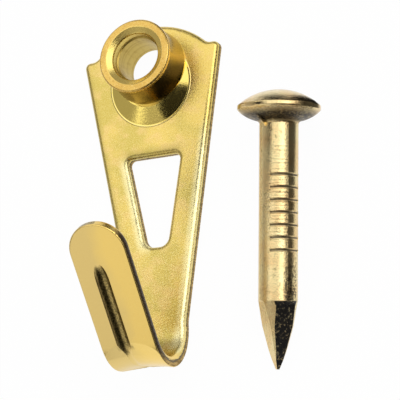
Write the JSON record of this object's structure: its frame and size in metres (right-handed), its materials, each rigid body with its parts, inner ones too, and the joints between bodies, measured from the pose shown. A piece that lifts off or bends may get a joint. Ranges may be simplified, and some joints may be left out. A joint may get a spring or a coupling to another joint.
{
  "type": "picture hook",
  "caption": "Folded sheet-metal picture hook: tapered back plate with a window, round nail guide and grooved lip that leans out, with its domed-head nail lying beside it.",
  "frame": {"origin": "where the axis of the nail guide crosses the wall face, the point where the nail enters the wall", "axes": "+X to the right as the hook is seen on the wall, +Y up the wall, +Z out of the wall; the wall face of the back plate is the plane z = 0"},
  "size_m": [0.0191, 0.0263, 0.0111],
  "materials": {
    "plated_sheet": "satin, finely grained plating",
    "plated_bush": "satin, finely grained plating",
    "plated_nail": "bright plating"
  },
  "bodies": {
    "root": {"hook_plate": "plated_sheet", "nail_guide": "plated_bush", "nail": "plated_nail"}
  },
  "joints": []
}
